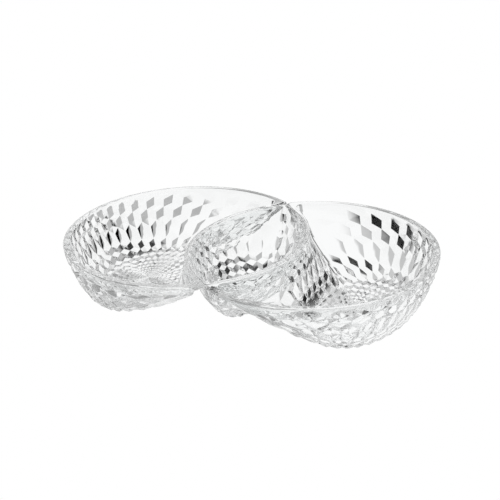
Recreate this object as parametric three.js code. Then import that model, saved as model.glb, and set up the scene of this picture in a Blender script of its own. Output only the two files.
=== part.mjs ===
// Chip and dip server: two crescent chip bowls standing against a lens-shaped dip bowl.
//
// Seen from above, the rims draw two equal circles that cross. The part of each circle outside
// the other is a chip bowl, and the part that they share is the dip bowl. The three bowls are
// separate mouldings that meet only along their rims, where each has half of the rim's width;
// below the rims their walls lean away from each other, down to three flat feet.
//
// Millimetres, +Z up. X runs through the centres of the three bowls and Y across them. The
// origin is on the table, under the middle of the dip bowl.

import * as THREE from 'three';

// Driving dimensions
const rimRadius = 107; // outer radius of both rim circles
const circleSpacing = 116; // from one circle's centre to the other's
const height = 53; // table to the top of the rim
const rimWidth = 6; // width of the rim seen from above
const nestingGap = 0.3; // clearance between two bowls that stand against each other
const edgeBevel = 1.2; // bevel along both edges of the rim
const floorThickness = 5; // glass under the inside of a bowl
const footInset = 4.5; // from the edge of a foot to the edge of the floor inside

// The foot under each bowl is an ellipse, given by its centre's distance from the origin
const chipFoot = { distance: 100, halfLength: 39, halfWidth: 62 };
const dipFoot = { distance: 0, halfLength: 17, halfWidth: 40 };

// How round a wall is from rim to foot: 1 is a straight slope, 2 a quarter circle. The further
// a wall runs in from the rim to the foot, the straighter it is.
const outerRoundness = 1.5;
const innerRoundness = 1.65;
const straighteningPerMm = 0.0042;

// Corner radii of the outlines seen from above
const chipTipRadius = 3.4; // where the tips of the two crescents meet
const chipCornerRadius = 8; // inside the crescents' tips
const dipTipRadius = 2;
const dipCornerRadius = 7;

// Mesh steps along the outlines and down the walls
const longArcSteps = 44;
const shortArcSteps = 22;
const cornerSteps = 4;
const wallShares = [0.12, 0.28, 0.46, 0.64, 0.8, 0.91, 0.975, 1];

// Worked out from the above
const halfSpacing = circleSpacing / 2;
const bevelHeight = height - edgeBevel;
const chipMeetRadius = rimRadius - rimWidth / 2 + nestingGap / 2;
const dipMeetRadius = rimRadius - rimWidth / 2 - nestingGap / 2;

// Points of an arc about (centreX, centreY). Each point also has a bearing: the angle at which
// it is joined to the foot's ellipse, given along the arc by bearingAt(share, x, y).
function arc(centreX, centreY, radius, start, end, steps, bearingAt) {
  const points = [];
  for (let step = 0; step < steps; step += 1) {
    const share = step / steps;
    const angle = start + (end - start) * share;
    const x = centreX + radius * Math.cos(angle);
    const y = centreY + radius * Math.sin(angle);
    points.push({ x, y, bearing: bearingAt(share, x, y) });
  }
  return points;
}

// The crescent inside the left circle and outside the right one, its two tips rounded
function crescentOutline(outerRadius, innerRadius, tipRadius) {
  const toLeft = outerRadius - tipRadius;
  const toRight = innerRadius + tipRadius;
  const tipX = (toLeft ** 2 - toRight ** 2) / (2 * circleSpacing);
  const tipY = Math.sqrt(toLeft ** 2 - (tipX + halfSpacing) ** 2);
  const outerAngle = Math.atan2(tipY, tipX + halfSpacing);
  const innerAngle = Math.atan2(tipY, halfSpacing - tipX);

  const seenFromFoot = (x, y) => Math.atan2(y, x + chipFoot.distance);
  const outerBearing = seenFromFoot(
    outerRadius * Math.cos(outerAngle) - halfSpacing,
    outerRadius * Math.sin(outerAngle),
  );
  const innerBearing = seenFromFoot(
    halfSpacing - innerRadius * Math.cos(innerAngle),
    innerRadius * Math.sin(innerAngle),
  );
  const along = (from, to) => (share) => from + (to - from) * share;
  const outside = (share, x, y) => {
    const bearing = seenFromFoot(x, y);
    return bearing < 0 ? bearing + 2 * Math.PI : bearing;
  };
  // The tips curve back behind the tangent from the foot, so an even spread is mixed in
  const evenSpread = 0.3;
  const inside = (share, x, y) => {
    const even = innerBearing * (2 * share - 1);
    return (1 - evenSpread) * seenFromFoot(x, y) + evenSpread * even;
  };

  return [
    ...arc(-halfSpacing, 0, outerRadius, outerAngle, 2 * Math.PI - outerAngle,
      longArcSteps, outside),
    ...arc(tipX, -tipY, tipRadius, -outerAngle, innerAngle,
      cornerSteps, along(-outerBearing, -innerBearing)),
    ...arc(halfSpacing, 0, innerRadius, Math.PI + innerAngle, Math.PI - innerAngle,
      shortArcSteps, inside),
    ...arc(tipX, tipY, tipRadius, -innerAngle, outerAngle,
      cornerSteps, along(innerBearing, outerBearing)),
  ];
}

// The lens inside both circles, its two tips rounded
function lensOutline(radius, tipRadius) {
  const tipY = Math.sqrt((radius - tipRadius) ** 2 - halfSpacing ** 2);
  const side = Math.atan2(tipY, halfSpacing);
  const bearing = (share, x, y) => Math.atan2(y, x);
  return [
    ...arc(-halfSpacing, 0, radius, -side, side, shortArcSteps, bearing),
    ...arc(0, tipY, tipRadius, side, Math.PI - side, cornerSteps, bearing),
    ...arc(halfSpacing, 0, radius, Math.PI - side, Math.PI + side, shortArcSteps, bearing),
    ...arc(0, -tipY, tipRadius, Math.PI + side, 2 * Math.PI - side, cornerSteps, bearing),
  ];
}

// One ring of a wall: the rim's outline moved towards the foot's ellipse, share of the way down
function wallRing(outline, foot, inset, share, roundness, bottomZ) {
  const z = bevelHeight + (bottomZ - bevelHeight) * share;
  return outline.map(({ x, y, bearing }) => {
    const runX = (foot.halfLength - inset) * Math.cos(bearing) - foot.distance - x;
    const runY = (foot.halfWidth - inset) * Math.sin(bearing) - y;
    const power = roundness - straighteningPerMm * Math.hypot(runX, runY);
    const moved = 1 - (1 - share ** power) ** (1 / power);
    return new THREE.Vector3(x + runX * moved, y + runY * moved, z);
  });
}

function flatRing(outline, z) {
  return outline.map(({ x, y }) => new THREE.Vector3(x, y, z));
}

// Skins a list of rings with as many points each, closing the first and the last with a fan
function skin(rings, firstCentre, lastCentre) {
  const count = rings[0].length;
  const points = [...rings.flat(), firstCentre, lastCentre];
  const first = points.length - 2;
  const last = points.length - 1;
  const lastRing = (rings.length - 1) * count;
  const triangles = [];
  for (let column = 0; column < count; column += 1) {
    const next = (column + 1) % count;
    triangles.push(first, next, column);
    triangles.push(last, lastRing + column, lastRing + next);
    for (let row = 0; row < rings.length - 1; row += 1) {
      const low = row * count;
      const high = low + count;
      triangles.push(low + column, low + next, high + next);
      triangles.push(low + column, high + next, high + column);
    }
  }
  const geometry = new THREE.BufferGeometry();
  geometry.setFromPoints(points);
  geometry.setIndex(triangles);
  geometry.computeVertexNormals();
  return geometry;
}

// A bowl from its foot, up the outside, over the rim and down the inside to the floor.
// outside(inset) and inside(growth) give the rim's two edges, moved by the bevel or by nothing.
function bowlShell(outside, inside, foot) {
  const outerWall = wallShares.map((share) =>
    wallRing(outside(0), foot, 0, share, outerRoundness, 0));
  const innerWall = wallShares.map((share) =>
    wallRing(inside(0), foot, footInset, share, innerRoundness, floorThickness));
  const rings = [
    ...outerWall.reverse(),
    flatRing(outside(0), bevelHeight),
    flatRing(outside(edgeBevel), height),
    flatRing(inside(edgeBevel), height),
    flatRing(inside(0), bevelHeight),
    ...innerWall,
  ];
  const underside = new THREE.Vector3(-foot.distance, 0, 0);
  const floor = new THREE.Vector3(-foot.distance, 0, floorThickness);
  return skin(rings, underside, floor);
}

function chipBowlGeometry() {
  return bowlShell(
    (inset) => crescentOutline(rimRadius - inset, chipMeetRadius + inset, chipTipRadius - inset),
    (growth) => crescentOutline(
      rimRadius - rimWidth + growth,
      rimRadius - growth,
      chipCornerRadius + growth,
    ),
    chipFoot,
  );
}

function dipBowlGeometry() {
  return bowlShell(
    (inset) => lensOutline(dipMeetRadius - inset, dipTipRadius - inset),
    (growth) => lensOutline(rimRadius - rimWidth + growth, dipCornerRadius + growth),
    dipFoot,
  );
}

function clearGlass() {
  return new THREE.MeshStandardMaterial({
    color: 0xf2f5f6,
    roughness: 0.03,
    metalness: 0,
    transparent: true,
    opacity: 0.4,
  });
}

function bowl(name, geometry, turn) {
  const mesh = new THREE.Mesh(geometry, clearGlass());
  mesh.name = name;
  mesh.rotation.z = turn;
  return mesh;
}

const server = new THREE.Group();
server.add(bowl('left_chip_bowl', chipBowlGeometry(), 0));
server.add(bowl('dip_bowl', dipBowlGeometry(), 0));
server.add(bowl('right_chip_bowl', chipBowlGeometry(), Math.PI));

export default server;
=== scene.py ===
import math

import bpy
import numpy as np
from mathutils import Matrix, Vector


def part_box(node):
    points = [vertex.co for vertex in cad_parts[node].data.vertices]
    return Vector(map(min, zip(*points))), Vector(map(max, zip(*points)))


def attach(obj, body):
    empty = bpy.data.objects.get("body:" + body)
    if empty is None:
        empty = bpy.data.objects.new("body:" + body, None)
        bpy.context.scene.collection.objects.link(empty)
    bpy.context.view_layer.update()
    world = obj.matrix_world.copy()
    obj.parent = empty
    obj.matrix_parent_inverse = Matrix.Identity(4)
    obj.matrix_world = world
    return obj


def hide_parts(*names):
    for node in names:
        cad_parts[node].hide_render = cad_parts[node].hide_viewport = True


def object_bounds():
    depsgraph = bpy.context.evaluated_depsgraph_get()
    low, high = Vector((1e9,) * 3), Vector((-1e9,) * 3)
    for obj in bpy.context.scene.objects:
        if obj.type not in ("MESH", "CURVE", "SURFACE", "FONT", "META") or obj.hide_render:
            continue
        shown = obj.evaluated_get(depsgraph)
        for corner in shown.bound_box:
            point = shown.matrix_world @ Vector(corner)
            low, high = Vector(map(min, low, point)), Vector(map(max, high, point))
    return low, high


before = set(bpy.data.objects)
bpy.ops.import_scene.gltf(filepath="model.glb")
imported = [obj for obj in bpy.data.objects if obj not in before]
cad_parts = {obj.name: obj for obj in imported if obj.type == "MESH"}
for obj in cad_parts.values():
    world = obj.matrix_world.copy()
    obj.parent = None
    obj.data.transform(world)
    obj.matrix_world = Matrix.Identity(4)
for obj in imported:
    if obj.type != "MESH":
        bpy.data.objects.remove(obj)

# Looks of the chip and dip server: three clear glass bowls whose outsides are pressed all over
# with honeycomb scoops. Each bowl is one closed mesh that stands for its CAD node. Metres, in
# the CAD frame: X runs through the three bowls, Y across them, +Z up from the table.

cad_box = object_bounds()

# ---------------------------------------------------------------- sizes, from the CAD frame
MM = 0.001
chip_low, chip_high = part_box("left_chip_bowl")
RIM_RADIUS = (chip_high.y - chip_low.y) / 2
HEIGHT = chip_high.z
SPACING = cad_box[1].x - cad_box[0].x - 2 * RIM_RADIUS
HALF_SPACING = SPACING / 2

# the same walls as in the CAD: their width at the rim, the gap where two bowls nest, the radius
# of the rim's edge, the floor, and how far inside the outer foot the inner one lies
RIM_WIDTH = 6 * MM
NESTING_GAP = 0.3 * MM
RIM_EDGE = 1.2 * MM
FLOOR_THICKNESS = 5 * MM
FOOT_INSET = 4.5 * MM

# radii of the two sides of a nesting gap, and of the bowls' tips outside and corners inside
MEET_CHIP = RIM_RADIUS - RIM_WIDTH / 2 + NESTING_GAP / 2
MEET_DIP = RIM_RADIUS - RIM_WIDTH / 2 - NESTING_GAP / 2
CHIP_TIP, CHIP_CORNER = 3.4 * MM, 8 * MM
DIP_TIP, DIP_CORNER = 2 * MM, 7 * MM

# oval feet, and the power of the curve from rim to foot, which gets less where the run is long
CHIP_FOOT = {"x": -100 * MM, "half_length": 39 * MM, "half_width": 62 * MM}
DIP_FOOT = {"x": 0.0, "half_length": 17 * MM, "half_width": 40 * MM}
OUTER_ROUNDNESS, INNER_ROUNDNESS = 1.5, 1.65
STRAIGHTENING = 4.2

# ---------------------------------------------------------------- the honeycomb
# columns to a full turn, the chip bowls' about a point of their own
CHIP_COLUMNS, DIP_COLUMNS = 32, 24
CHIP_PATTERN_X = -107 * MM
EVEN_SPREAD = 0.3

# shares of the path from the rim to the middle of the foot: the plain band under the rim, the
# five tall rows, and how much shorter each later row is than the one above it
BAND = 0.057
TOP_ROWS = (0.092, 0.103, 0.144, 0.086, 0.102)
ROW_SHRINK = 0.82
ROWS = 15
ZIGZAG = 0.18

# depth of a scoop as a share of its width, and the most that it takes of the wall's thickness
SCOOP_DEPTH, ROUND_SCOOP_DEPTH = 0.25, 0.1
DEEPEST_SHARE = 0.6
ROUND_ROW = 2

# ---------------------------------------------------------------- how fine the meshes are
CIRCLE_STEPS, RIDGE_STEPS, TIP_STEPS = 900, 500, 40
WALL_STEPS, FLOOR_STEPS = 110, 40
EDGE_STEPS = 4
SCOOP_RINGS = 5
INSIDE_RINGS = 36
BATCH = 4000
TINY = 1e-12

# the corners of a cell, as places in its loop of edge points, that its creases run to
CREASES = (EDGE_STEPS, 3 * EDGE_STEPS, 5 * EDGE_STEPS)


def arc(centre_x, centre_y, radius, start, end, steps):
    """Points of an arc, without its last one."""
    angle = start + (end - start) * np.arange(steps) / steps
    return centre_x + radius * np.cos(angle), centre_y + radius * np.sin(angle)


def number_columns(x, y, bearing, centre_x, columns):
    """An outline as column numbers: equal angles about the pattern's own centre."""
    column = np.mod(np.arctan2(y, x - centre_x) / (2 * math.pi) * columns + 0.5, columns)
    order = np.argsort(column, kind="stable")
    parts = (x, y, np.cos(bearing), np.sin(bearing))
    return {"column": column[order], "parts": [p[order] for p in parts], "columns": columns}


def crescent(outer_radius, inner_radius, tip_radius):
    """The crescent inside the left circle and outside the right one, its tips rounded."""
    to_left, to_right = outer_radius - tip_radius, inner_radius + tip_radius
    tip_x = (to_left**2 - to_right**2) / (2 * SPACING)
    tip_y = math.sqrt(to_left**2 - (tip_x + HALF_SPACING) ** 2)
    outer_angle = math.atan2(tip_y, tip_x + HALF_SPACING)
    inner_angle = math.atan2(tip_y, HALF_SPACING - tip_x)
    outside = arc(-HALF_SPACING, 0, outer_radius,
                  outer_angle, 2 * math.pi - outer_angle, CIRCLE_STEPS)
    front = arc(tip_x, -tip_y, tip_radius, -outer_angle, inner_angle, TIP_STEPS)
    inside = arc(HALF_SPACING, 0, inner_radius,
                 math.pi + inner_angle, math.pi - inner_angle, RIDGE_STEPS)
    back = arc(tip_x, tip_y, tip_radius, -inner_angle, outer_angle, TIP_STEPS)

    # bearings from the middle of the foot say where on its oval each point's path ends
    foot_x = CHIP_FOOT["x"]
    bearing_outside = np.mod(np.arctan2(outside[1], outside[0] - foot_x), 2 * math.pi)
    outer_bearing = bearing_outside[0]
    seen = np.arctan2(inside[1], inside[0] - foot_x)
    inner_bearing = -seen[0]
    even = inner_bearing * (2 * np.arange(RIDGE_STEPS) / RIDGE_STEPS - 1)
    bearing_inside = (1 - EVEN_SPREAD) * seen + EVEN_SPREAD * even
    turned = (outer_bearing - inner_bearing) * np.arange(TIP_STEPS) / TIP_STEPS
    bearing_front = turned - outer_bearing
    bearing_back = turned + inner_bearing

    x = np.concatenate([outside[0], front[0], inside[0], back[0]])
    y = np.concatenate([outside[1], front[1], inside[1], back[1]])
    bearing = np.concatenate([bearing_outside, bearing_front, bearing_inside, bearing_back])
    return number_columns(x, y, bearing, CHIP_PATTERN_X, CHIP_COLUMNS)


def lens(radius, tip_radius):
    """The lens inside both circles, its tips rounded."""
    tip_y = math.sqrt((radius - tip_radius) ** 2 - HALF_SPACING**2)
    side = math.atan2(tip_y, HALF_SPACING)
    arcs = (
        arc(-HALF_SPACING, 0, radius, -side, side, RIDGE_STEPS),
        arc(0, tip_y, tip_radius, side, math.pi - side, TIP_STEPS),
        arc(HALF_SPACING, 0, radius, math.pi - side, math.pi + side, RIDGE_STEPS),
        arc(0, -tip_y, tip_radius, math.pi + side, 2 * math.pi - side, TIP_STEPS),
    )
    x = np.concatenate([a[0] for a in arcs])
    y = np.concatenate([a[1] for a in arcs])
    return number_columns(x, y, np.arctan2(y, x), 0, DIP_COLUMNS)


def at_columns(outline, column):
    """x, y and the bearing's cosine and sine of an outline at each column number."""
    turn = outline["columns"]
    return [np.interp(column, outline["column"], part, period=turn) for part in outline["parts"]]


def down_the_wall(outline, foot, inset, roundness, bottom, column, share):
    """Points of a wall and floor, share of the way from the rim to the middle of the floor."""
    x, y, cos_bearing, sin_bearing = [v[:, None] for v in at_columns(outline, column)]
    foot_x = foot["x"] + (foot["half_length"] - inset) * cos_bearing
    foot_y = (foot["half_width"] - inset) * sin_bearing
    run_x, run_y = foot_x - x, foot_y - y
    power = roundness - STRAIGHTENING * np.hypot(run_x, run_y)
    fall = np.sin(np.linspace(0, math.pi / 2, WALL_STEPS))[None, :]
    moved = 1 - (1 - fall**power) ** (1 / power)
    top = HEIGHT - RIM_EDGE
    across = np.linspace(1, 0, FLOOR_STEPS)[None, 1:]
    px = np.concatenate([x + run_x * moved, foot["x"] + (foot_x - foot["x"]) * across], 1)
    py = np.concatenate([y + run_y * moved, foot_y * across], 1)
    pz = np.concatenate([top + (bottom - top) * fall, np.full_like(across, bottom)], 1)
    path = np.stack([px, py, np.broadcast_to(pz, px.shape)], -1)

    steps = np.linalg.norm(np.diff(path, axis=1), axis=2)
    gone = np.concatenate([np.zeros((len(path), 1)), np.cumsum(steps, 1)], 1)
    target = np.clip(share, 0, 1) * gone[:, -1]
    index = np.clip((gone <= target[:, None]).sum(1) - 1, 0, path.shape[1] - 2)
    rows = np.arange(len(path))
    part = (target - gone[rows, index]) / np.maximum(steps[rows, index], TINY)
    start, end = path[rows, index], path[rows, index + 1]
    return start + (end - start) * part[:, None]


def surface(bowl, side, column, share):
    """Points of a bowl's outer or inner surface, worked out a few thousand at a time."""
    outline, inset, roundness, bottom = bowl[side]
    points = []
    for start in range(0, len(column), BATCH):
        piece = slice(start, start + BATCH)
        points.append(down_the_wall(outline, bowl["foot"], inset, roundness, bottom,
                                    column[piece], share[piece]))
    return np.concatenate(points)


def row_heights():
    """Shares of the path from rim to middle: five tall rows, then rows that keep shrinking."""
    shrinking = TOP_ROWS[-1] * ROW_SHRINK ** np.arange(1, ROWS - len(TOP_ROWS) + 1)
    return np.concatenate([TOP_ROWS, shrinking])


def row_levels():
    """Path shares of the lines between the rows, before they zigzag."""
    return BAND + np.concatenate([[0], np.cumsum(row_heights())])


def line_share(levels, line, half_columns):
    """Path share along a zigzag line at fractional half-column numbers."""
    peak = np.abs(np.mod(half_columns + line, 2) - 1)
    return levels[line] + ZIGZAG * row_heights()[min(line, ROWS - 1)] * (1 - 2 * peak)


class Skin:
    """The outside's vertices as column, path share and depth, its faces and its sharp edges."""

    def __init__(self):
        self.column, self.share, self.depth = [], [], []
        self.faces, self.sharp = [], []
        self.count = 0

    def add(self, column, share, depth):
        """Adds vertices and returns their numbers."""
        column = np.atleast_1d(column).astype(float)
        self.column.append(column)
        self.share.append(np.broadcast_to(share, column.shape).astype(float))
        self.depth.append(np.broadcast_to(depth, column.shape).astype(float))
        first = self.count
        self.count += len(column)
        return np.arange(first, self.count)


def join_rings(faces, upper, lower):
    """Quads between two rings of as many vertices."""
    for step in range(len(upper)):
        after = (step + 1) % len(upper)
        faces.append((upper[step], upper[after], lower[after], lower[step]))


def close_ring(faces, ring, tip):
    """Triangles from a ring of vertices to one in its middle."""
    for step in range(len(ring)):
        faces.append((ring[step], ring[(step + 1) % len(ring)], tip))


def honeycomb(bowl):
    """The zigzag lines, the short sides between them, and the six-sided cells that they bound."""
    skin = Skin()
    half_columns = 2 * bowl["outer"][0]["columns"]
    around = half_columns * EDGE_STEPS
    half = np.arange(around) / EDGE_STEPS
    levels = row_levels()
    shares = [line_share(levels, line, half) for line in range(len(levels))]
    lines = [skin.add(half / 2, share, 0) for share in shares]
    for index in lines:
        skin.sharp += list(zip(index, np.roll(index, -1)))

    part = np.arange(1, EDGE_STEPS) / EDGE_STEPS
    cells = []
    for row in range(ROWS):
        top, bottom = lines[row], lines[row + 1]
        sides = {}
        for half_column in range((row + 1) % 2, half_columns, 2):
            at = half_column * EDGE_STEPS
            share = shares[row][at] + (shares[row + 1][at] - shares[row][at]) * part
            index = skin.add(np.full(len(part), half_column / 2), share, 0)
            sides[half_column] = index
            chain = [top[at], *index, bottom[at]]
            skin.sharp += list(zip(chain[:-1], chain[1:]))
        for middle in range(row % 2, half_columns, 2):
            run = np.arange((middle - 1) * EDGE_STEPS, (middle + 1) * EDGE_STEPS + 1)
            left = sides[(middle - 1) % half_columns]
            right = sides[(middle + 1) % half_columns]
            loop = [*top[run % around], *right, *bottom[run[::-1] % around], *left[::-1]]
            loop_half = np.concatenate([
                run / EDGE_STEPS, np.full(len(part), middle + 1.0),
                run[::-1] / EDGE_STEPS, np.full(len(part), middle - 1.0)])
            cells.append({"row": row, "middle": middle / 2, "loop": np.array(loop),
                          "column": loop_half / 2})
    return skin, cells, levels, lines


def cell_depths(cells, edge_points, centres, walls):
    """How deep each cell's middle goes: a share of its width, but no more than one of the wall."""
    depths = []
    for cell, centre, wall in zip(cells, centres, walls):
        reach = np.linalg.norm(edge_points[cell["loop"]] - centre, axis=1)
        hollow = ROUND_SCOOP_DEPTH if cell["row"] == ROUND_ROW else SCOOP_DEPTH
        depths.append(min(hollow * 2 * reach.min(), DEEPEST_SHARE * wall))
    return depths


def edge_depths(cells, depths, count):
    """Depth at the points between cells, such that each third of a cell is a flat rhombus.

    It is half the mean depth of the three cells that meet at every other corner, 0 at the rest.
    """
    corner_depth = np.zeros(count)
    for cell, depth in zip(cells, depths):
        for corner in CREASES:
            corner_depth[cell["loop"][corner]] += depth / 6
    edge_depth = np.zeros(count)
    part = np.arange(EDGE_STEPS) / EDGE_STEPS
    for cell in cells:
        corners = corner_depth[cell["loop"][::EDGE_STEPS]]
        for corner in range(6):
            start, end = corners[corner], corners[(corner + 1) % 6]
            points = cell["loop"][corner * EDGE_STEPS:(corner + 1) * EDGE_STEPS]
            edge_depth[points] = start + (end - start) * part
    return edge_depth


def fill_cell(skin, cell, depth, centre_share, share, edge_depth):
    """Rings of faces from a cell's edge in to its middle: three flats, or a round hollow."""
    is_round = cell["row"] == ROUND_ROW
    creases = () if is_round else CREASES
    loop, middle = cell["loop"], cell["middle"]
    previous = loop
    for ring in range(SCOOP_RINGS, 0, -1):
        out = ring / (SCOOP_RINGS + 1)
        fade = out**2 if is_round else out
        ring_column = middle + (cell["column"] - middle) * out
        ring_share = centre_share + (share[loop] - centre_share) * out
        index = skin.add(ring_column, ring_share, depth + (edge_depth[loop] - depth) * fade)
        join_rings(skin.faces, previous, index)
        skin.sharp += [(previous[corner], index[corner]) for corner in creases]
        previous = index
    tip = skin.add(middle, centre_share, depth)[0]
    close_ring(skin.faces, previous, tip)
    skin.sharp += [(previous[corner], tip) for corner in creases]


def scoops(bowl, skin, cells, levels):
    """Works out how deep the honeycomb is and fills its cells."""
    column = np.concatenate(skin.column)
    share = np.concatenate(skin.share)
    edge_points = surface(bowl, "outer", column, share)
    middles = np.array([cell["middle"] for cell in cells])
    rows = np.array([cell["row"] for cell in cells])
    centre_shares = (levels[rows] + levels[rows + 1]) / 2
    centres = surface(bowl, "outer", middles, centre_shares)
    walls = np.linalg.norm(surface(bowl, "inner", middles, centre_shares) - centres, axis=1)
    depths = cell_depths(cells, edge_points, centres, walls)
    edge_depth = edge_depths(cells, depths, len(column))
    skin.depth = [edge_depth]
    for cell, depth, centre_share in zip(cells, depths, centre_shares):
        fill_cell(skin, cell, depth, centre_share, share, edge_depth)


def scooped_points(bowl, skin):
    """The outside's points, each pushed into the wall by its depth."""
    column = np.concatenate(skin.column)
    share = np.concatenate(skin.share)
    depth = np.concatenate(skin.depth)
    points = surface(bowl, "outer", column, share)
    inwards = surface(bowl, "inner", column, share) - points
    inwards /= np.linalg.norm(inwards, axis=1)[:, None]
    return points + inwards * depth[:, None]


def rim_rings(bowl, column):
    """Rings of points round the rim, from the outside over the top to the inside."""
    rings = []
    for side, angles in (("outer_edge", (30, 60, 90)), ("inner_edge", (90, 60, 30, 0))):
        for angle in np.radians(angles):
            inset = RIM_EDGE * (1 - math.cos(angle))
            z = HEIGHT - RIM_EDGE * (1 - math.sin(angle))
            x, y = at_columns(bowl[side](inset), column)[:2]
            rings.append(np.stack([x, y, np.full(len(column), z)], 1))
    return rings


def inside_rings(bowl, column):
    """Rings of points down the inside, from under the rim to near the middle of the floor."""
    shares = np.arange(1, INSIDE_RINGS) / INSIDE_RINGS
    return [surface(bowl, "inner", column, np.full(len(column), share)) for share in shares]


def smooth_mesh(name, points, faces, sharp_pairs):
    """A smooth mesh with some sharp edges, its faces turned to look outwards."""
    mesh = bpy.data.meshes.new(name)
    outwards = [tuple(int(corner) for corner in face[::-1]) for face in faces]
    mesh.from_pydata(points.tolist(), [], outwards)
    mesh.polygons.foreach_set("use_smooth", np.ones(len(mesh.polygons), bool))
    sharp = {tuple(sorted((int(a), int(b)))) for a, b in sharp_pairs}
    flags = [tuple(sorted(edge.vertices)) in sharp for edge in mesh.edges]
    attribute = mesh.attributes.new("sharp_edge", "BOOLEAN", "EDGE")
    attribute.data.foreach_set("value", flags)
    mesh.validate()
    mesh.update()
    return mesh


def bowl_mesh(name, bowl):
    """A closed mesh: the scooped outside, the rounded rim and the smooth inside."""
    skin, cells, levels, lines = honeycomb(bowl)
    scoops(bowl, skin, cells, levels)
    half = np.arange(len(lines[0])) / EDGE_STEPS
    column = half / 2
    close_ring(skin.faces, lines[-1], skin.add(0.0, 1.0, 0)[0])
    band_share = line_share(levels, 0, half)
    band = [skin.add(column, band_share * part, 0) for part in (0, 1 / 3, 2 / 3)]
    for upper, lower in zip(band, (*band[1:], lines[0])):
        join_rings(skin.faces, upper, lower)

    parts = [scooped_points(bowl, skin)]
    total = len(parts[0])
    previous = band[0]
    for ring in rim_rings(bowl, column) + inside_rings(bowl, column):
        parts.append(ring)
        index = np.arange(total, total + len(ring))
        total += len(ring)
        join_rings(skin.faces, index, previous)
        previous = index
    parts.append(surface(bowl, "inner", np.zeros(1), np.ones(1)))
    close_ring(skin.faces, previous[::-1], total)
    return smooth_mesh(name, np.concatenate(parts), skin.faces, skin.sharp)


def chip_bowl():
    """The left chip bowl's outlines and walls. The right one is the same, turned half round."""
    def outer_edge(inset):
        return crescent(RIM_RADIUS - inset, MEET_CHIP + inset, CHIP_TIP - inset)

    def inner_edge(growth):
        return crescent(RIM_RADIUS - RIM_WIDTH + growth, RIM_RADIUS - growth, CHIP_CORNER + growth)

    return {
        "foot": CHIP_FOOT, "outer_edge": outer_edge, "inner_edge": inner_edge,
        "outer": (outer_edge(0), 0, OUTER_ROUNDNESS, 0),
        "inner": (inner_edge(0), FOOT_INSET, INNER_ROUNDNESS, FLOOR_THICKNESS),
    }


def dip_bowl():
    """The dip bowl's outlines and walls."""
    def outer_edge(inset):
        return lens(MEET_DIP - inset, DIP_TIP - inset)

    def inner_edge(growth):
        return lens(RIM_RADIUS - RIM_WIDTH + growth, DIP_CORNER + growth)

    return {
        "foot": DIP_FOOT, "outer_edge": outer_edge, "inner_edge": inner_edge,
        "outer": (outer_edge(0), 0, OUTER_ROUNDNESS, 0),
        "inner": (inner_edge(0), FOOT_INSET, INNER_ROUNDNESS, FLOOR_THICKNESS),
    }


# ---------------------------------------------------------------- materials
WHITE, BLACK = (1, 1, 1, 1), (0, 0, 0, 1)
GLASS_TINT = (0.985, 0.992, 0.992, 1)
GLASS_IOR = 1.52


def set_inputs(node, values):
    """Sets a node's sockets to plain values."""
    for name, value in values.items():
        node.inputs[name].default_value = value


def clear_glass():
    """Colourless pressed glass: polished, with the faint unevenness that pressing leaves."""
    material = bpy.data.materials.new("clear_pressed_glass")
    material.use_nodes = True
    nodes, links = material.node_tree.nodes, material.node_tree.links
    shader = nodes["Principled BSDF"]
    set_inputs(shader, {"Base Color": GLASS_TINT, "IOR": GLASS_IOR, "Transmission Weight": 1})
    position = nodes.new("ShaderNodeTexCoord").outputs["Object"]

    swell = nodes.new("ShaderNodeTexNoise")
    bump = nodes.new("ShaderNodeBump")
    set_inputs(swell, {"Scale": 55, "Detail": 2})
    set_inputs(bump, {"Strength": 0.25, "Distance": 0.4 * MM})
    links.new(position, swell.inputs["Vector"])
    links.new(swell.outputs["Fac"], bump.inputs["Height"])
    links.new(bump.outputs["Normal"], shader.inputs["Normal"])

    smudge = nodes.new("ShaderNodeTexNoise")
    polish = nodes.new("ShaderNodeMapRange")
    set_inputs(smudge, {"Scale": 18})
    set_inputs(polish, {"From Min": 0.4, "From Max": 0.8, "To Min": 0, "To Max": 0.02})
    links.new(position, smudge.inputs["Vector"])
    links.new(smudge.outputs["Fac"], polish.inputs["Value"])
    links.new(polish.outputs["Result"], shader.inputs["Roughness"])
    return material


def table_material():
    """A white table top that is lit as brightly as the backdrop, so no horizon shows."""
    material = bpy.data.materials.new("white_table")
    material.use_nodes = True
    set_inputs(material.node_tree.nodes["Principled BSDF"], {
        "Base Color": BLACK, "Specular IOR Level": 0,
        "Emission Color": WHITE, "Emission Strength": 1})
    return material


# ---------------------------------------------------------------- making the pieces
def place(name, mesh, node, material, turned=False):
    """Puts a bowl's mesh in the scene, on its body and in the place of its CAD node."""
    if turned:
        mesh.transform(Matrix.Rotation(math.pi, 4, "Z"))
    mesh.materials.append(material)
    piece = bpy.data.objects.new(name, mesh)
    bpy.context.collection.objects.link(piece)
    piece.visible_shadow = False
    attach(piece, node)
    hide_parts(node)
    return piece


glass = clear_glass()
chip = chip_bowl()
place("left_chip_bowl_glass", bowl_mesh("left_chip_bowl_glass", chip), "left_chip_bowl", glass)
place("right_chip_bowl_glass", bowl_mesh("right_chip_bowl_glass", chip), "right_chip_bowl", glass,
      turned=True)
place("dip_bowl_glass", bowl_mesh("dip_bowl_glass", dip_bowl()), "dip_bowl", glass)


# ---------------------------------------------------------------- floor, light and camera
# the photograph's viewing angle: 25 degrees round to the right and 24 degrees above
CAMERA_TURN, CAMERA_LIFT, CAMERA_ROLL = 0.4294, 0.4259, -0.0446
CAMERA_DISTANCE = 11.226 * RIM_RADIUS
CAMERA_SHIFT = (0.004, -0.0173)
LENS, SENSOR = 101.5, 36

TABLE_REACH = 4.0
TABLE_GAP = 0.3 * MM

# bright panels to a full turn of the tent's lower wall, on its left and on its right
LEFT_PANELS, RIGHT_PANELS = 12, 10


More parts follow.
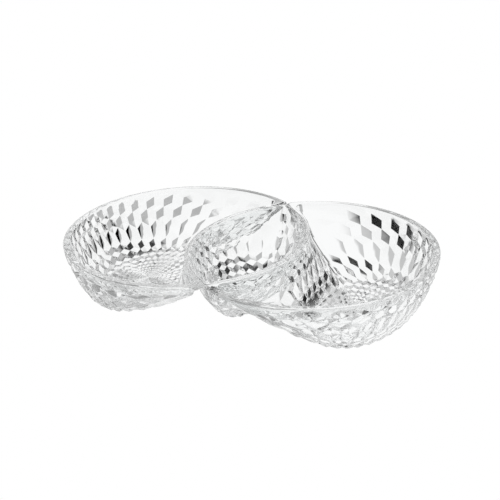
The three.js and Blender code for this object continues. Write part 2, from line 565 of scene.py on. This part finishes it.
def floor():
    """A table just under the feet. The glass sees the tent in its place."""
    x, z = TABLE_REACH, -TABLE_GAP
    mesh = bpy.data.meshes.new("table")
    mesh.from_pydata([(-x, -x, z), (x, -x, z), (x, x, z), (-x, x, z)], [], [(0, 1, 2, 3)])
    mesh.materials.append(table_material())
    table = bpy.data.objects.new("table", mesh)
    table.visible_transmission = False
    table.visible_glossy = False
    bpy.context.collection.objects.link(table)


def math_node(tree, operation, first, second=None):
    """A math node with numbers or other nodes' outputs as its inputs."""
    node = tree.nodes.new("ShaderNodeMath")
    node.operation = operation
    for socket, value in zip(node.inputs, (first, second)):
        if isinstance(value, bpy.types.NodeSocket):
            tree.links.new(value, socket)
        elif value is not None:
            socket.default_value = value
    return node.outputs[0]


def ramp(tree, value, start, end):
    """0 before start, 1 after end and a soft edge between."""
    node = tree.nodes.new("ShaderNodeMapRange")
    node.interpolation_type = "SMOOTHSTEP"
    set_inputs(node, {"From Min": start, "From Max": end})
    tree.links.new(value, node.inputs["Value"])
    return node.outputs[0]


def along(tree, vector, x, y, z):
    """How far a direction goes along the direction x, y, z."""
    node = tree.nodes.new("ShaderNodeVectorMath")
    node.operation = "DOT_PRODUCT"
    tree.links.new(vector, node.inputs[0])
    node.inputs[1].default_value = (x, y, z)
    return node.outputs["Value"]


def between(tree, part, level_at_0, level_at_1):
    """A level that goes from one to the other as part goes from 0 to 1."""
    change = math_node(tree, "SUBTRACT", level_at_1, level_at_0)
    return math_node(tree, "ADD", level_at_0, math_node(tree, "MULTIPLY", part, change))


def wave(tree, angle, panels):
    """1 in the middle of each panel and -1 in the seams between them."""
    return math_node(tree, "COSINE", math_node(tree, "MULTIPLY", angle, panels))


def lower_wall(tree, right, ahead, height):
    """Bright panels with seams between them, which are black only behind the object."""
    angle = math_node(tree, "ARCTAN2", right, ahead)
    seam = between(tree, ramp(tree, ahead, 0.7, 0.85), 0.4, 0)

    left_wave = wave(tree, angle, LEFT_PANELS)
    left_seam = between(tree, ramp(tree, height, -0.38, -0.3), seam, 0.5)
    left = between(tree, ramp(tree, left_wave, -0.25, -0.05), 0.5, 1)
    left = between(tree, ramp(tree, left_wave, -0.93, -0.75), left_seam, left)

    right_wave = wave(tree, angle, RIGHT_PANELS)
    rising = math_node(tree, "ADD", height, math_node(tree, "MULTIPLY", right, 0.8))
    right_seam = between(tree, ramp(tree, rising, -0.16, -0.08), 0.6, seam)
    right_side = between(tree, ramp(tree, right_wave, -0.6, 0), right_seam, 1)
    return between(tree, ramp(tree, right, -0.05, 0.05), left, right_side)


def upper_wall(tree, right, ahead):
    """Bright behind the object, black at the sides and in front."""
    sides = ramp(tree, math_node(tree, "ABSOLUTE", right), 0.3, 0.6)
    front = ramp(tree, ahead, 0.3, -0.3)
    return between(tree, math_node(tree, "MAXIMUM", sides, front), 0.9, 0)


def studio():
    """A light tent, fixed in space: white for the camera, with darker parts for the glass.

    right, ahead and height are the parts of a direction seen from the photograph's side.
    """
    world = bpy.data.worlds.new("studio")
    bpy.context.scene.world = world
    world.use_nodes = True
    tree = world.node_tree
    direction = tree.nodes.new("ShaderNodeTexCoord").outputs["Generated"]
    right = along(tree, direction, math.cos(CAMERA_TURN), math.sin(CAMERA_TURN), 0)
    ahead = along(tree, direction, -math.sin(CAMERA_TURN), math.cos(CAMERA_TURN), 0)
    height = along(tree, direction, 0, 0, 1)

    lower, upper = lower_wall(tree, right, ahead, height), upper_wall(tree, right, ahead)
    level = between(tree, ramp(tree, height, -0.08, 0.04), lower, upper)
    table_edge = between(tree, ramp(tree, right, -0.12, 0), 0.3, 1)
    level = between(tree, ramp(tree, height, -0.8, -0.55), table_edge, level)
    level = between(tree, ramp(tree, height, -0.95, -0.85), 1, level)
    level = between(tree, ramp(tree, height, 0.5, 0.75), level, 0.65)
    seen_directly = tree.nodes.new("ShaderNodeLightPath").outputs["Is Camera Ray"]
    level = between(tree, seen_directly, level, 1)
    background = tree.nodes["Background"]
    set_inputs(background, {"Color": WHITE})
    tree.links.new(level, background.inputs["Strength"])


def camera():
    """Looks at the middle of the rims from the photograph's viewing angle."""
    turn, lift, roll = CAMERA_TURN, CAMERA_LIFT, CAMERA_ROLL
    back = Vector((math.sin(turn) * math.cos(lift), -math.cos(turn) * math.cos(lift), math.sin(lift)))
    right = Vector((math.cos(turn), math.sin(turn), 0))
    up = back.cross(right)
    rolled_right = right * math.cos(roll) + up * math.sin(roll)
    rolled_up = up * math.cos(roll) - right * math.sin(roll)
    place_at = Vector((0, 0, HEIGHT)) + back * CAMERA_DISTANCE
    data = bpy.data.cameras.new("camera")
    data.sensor_width = SENSOR
    data.lens = LENS
    data.shift_x, data.shift_y = CAMERA_SHIFT
    eye = bpy.data.objects.new("camera", data)
    axes = Matrix((rolled_right, rolled_up, back)).transposed().to_4x4()
    eye.matrix_world = Matrix.Translation(place_at) @ axes
    bpy.context.collection.objects.link(eye)
    bpy.context.scene.camera = eye


floor()
studio()
camera()
bpy.context.scene.view_settings.view_transform = "Standard"

# light goes on through all the walls of glass that lie behind one another
BOUNCES = 32
cycles = bpy.context.scene.cycles
cycles.max_bounces = BOUNCES
cycles.glossy_bounces = BOUNCES
cycles.transmission_bounces = BOUNCES
